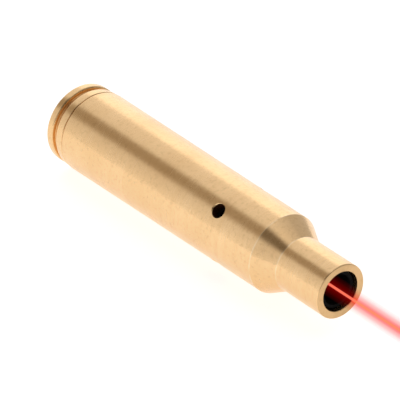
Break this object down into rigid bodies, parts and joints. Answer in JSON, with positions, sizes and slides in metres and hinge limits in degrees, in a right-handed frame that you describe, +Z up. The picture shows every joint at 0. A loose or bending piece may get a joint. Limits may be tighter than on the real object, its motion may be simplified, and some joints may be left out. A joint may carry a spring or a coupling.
{
  "type": "laser bore sighter",
  "caption": "Brass laser collimator shaped as a bottlenecked cartridge case: screw-off base, button cells, and a tilting laser module aimed by radial screws.",
  "frame": {"origin": "centre of the rear base face", "axes": "+X along the optical axis towards the mouth, +Z up, the body lying level"},
  "size_m": [0.0448, 0.0096, 0.0096],
  "materials": {
    "brass": "satin, fine turning marks",
    "grey_rubber": "matte",
    "black_rubber": "matte",
    "spring_steel": "bright drawn wire",
    "nylon": "matte natural nylon",
    "cell_steel": "bright nickel",
    "black_anodised": "satin black anodised",
    "black_steel": "black oxide",
    "gold_plate": "gold plate",
    "glass": "clear, polished",
    "board_green": "solder mask",
    "chip_black": "moulded epoxy",
    "ceramic_tan": "fired ceramic"
  },
  "bodies": {
    "case": {"case_body": "brass", "battery_sleeve": "nylon"},
    "cap_spring": {"cap_contact_spring": "spring_steel"},
    "base_cap": {"base_cap": "brass", "primer_pad": "grey_rubber"},
    "cell_stack": {"cell_1_can": "cell_steel", "cell_1_seal": "nylon", "cell_1_lid": "cell_steel", "cell_2_can": "cell_steel", "cell_2_seal": "nylon", "cell_2_lid": "cell_steel", "cell_3_can": "cell_steel", "cell_3_seal": "nylon", "cell_3_lid": "cell_steel"},
    "pivot_ring": {"pivot_ring": "black_rubber"},
    "laser_module": {"module_barrel": "black_anodised", "diode_header": "gold_plate", "diode_can": "gold_plate", "diode_window": "glass", "diode_post": "gold_plate", "laser_chip": "chip_black", "diode_pin_1": "gold_plate", "diode_pin_2": "gold_plate", "diode_pin_3": "gold_plate", "driver_board": "board_green", "driver_chip": "chip_black", "driver_resistor": "ceramic_tan", "driver_capacitor": "ceramic_tan", "module_contact_spring": "spring_steel", "lens_spring": "spring_steel"},
    "lens": {"collimating_lens": "glass"},
    "lens_retainer": {"lens_retainer": "black_anodised"},
    "aim_screw_1": {"aim_screw_1": "black_steel"},
    "aim_screw_2": {"aim_screw_2": "black_steel"},
    "aim_screw_3": {"aim_screw_3": "black_steel"},
    "aim_screw_4": {"aim_screw_4": "black_steel"}
  },
  "joints": [
    {"name": "cap_turn", "type": "hinge", "parent": "cap_spring", "child": "base_cap", "pos_m": [0, 0, 0], "axis": [-1, 0, 0], "range_deg": [0, 2340]},
    {"name": "cap_travel", "type": "slide", "parent": "case", "child": "cap_spring", "axis": [-1, 0, 0], "range_m": [0, 0.00325]},
    {"name": "cell_stack_travel", "type": "slide", "parent": "case", "child": "cell_stack", "axis": [-1, 0, 0], "range_m": [0, 0.001]},
    {"name": "aim_tilt_a", "type": "hinge", "parent": "case", "child": "pivot_ring", "pos_m": [0.0392, 0, 0], "axis": [0, -0.7071, -0.7071], "range_deg": [-0.8, 0.8]},
    {"name": "aim_tilt_b", "type": "hinge", "parent": "pivot_ring", "child": "laser_module", "pos_m": [0.0392, 0, 0], "axis": [0, -0.7071, 0.7071], "range_deg": [-0.8, 0.8]},
    {"name": "focus_turn", "type": "hinge", "parent": "lens", "child": "lens_retainer", "pos_m": [0.0415, 0, 0], "axis": [1, 0, 0], "range_deg": [-180, 180]},
    {"name": "focus_travel", "type": "slide", "parent": "laser_module", "child": "lens", "axis": [1, 0, 0], "range_m": [-0.00015, 0.00015]},
    {"name": "aim_screw_1_travel", "type": "slide", "parent": "case", "child": "aim_screw_1", "axis": [0, -0.7071, 0.7071], "range_m": [-0.00014606, 0.00014606]},
    {"name": "aim_screw_2_travel", "type": "slide", "parent": "case", "child": "aim_screw_2", "axis": [0, -0.7071, -0.7071], "range_m": [-0.00014606, 0.00014606]},
    {"name": "aim_screw_3_travel", "type": "slide", "parent": "case", "child": "aim_screw_3", "axis": [0, 0.7071, -0.7071], "range_m": [-0.00014606, 0.00014606]},
    {"name": "aim_screw_4_travel", "type": "slide", "parent": "case", "child": "aim_screw_4", "axis": [0, 0.7071, 0.7071], "range_m": [-0.00014606, 0.00014606]}
  ],
  "couplings": [
    {"joint": "cap_turn", "follows": "cap_travel", "rad_per_m": 12566},
    {"joint": "cell_stack_travel", "follows": "cap_travel", "ratio": 0.30769},
    {"joint": "focus_turn", "follows": "focus_travel", "rad_per_m": 20944},
    {"joint": "aim_screw_1_travel", "follows": "aim_tilt_a", "m_per_rad": -0.01045},
    {"joint": "aim_screw_2_travel", "follows": "aim_tilt_b", "m_per_rad": 0.01045},
    {"joint": "aim_screw_3_travel", "follows": "aim_tilt_a", "m_per_rad": 0.01045},
    {"joint": "aim_screw_4_travel", "follows": "aim_tilt_b", "m_per_rad": -0.01045}
  ]
}
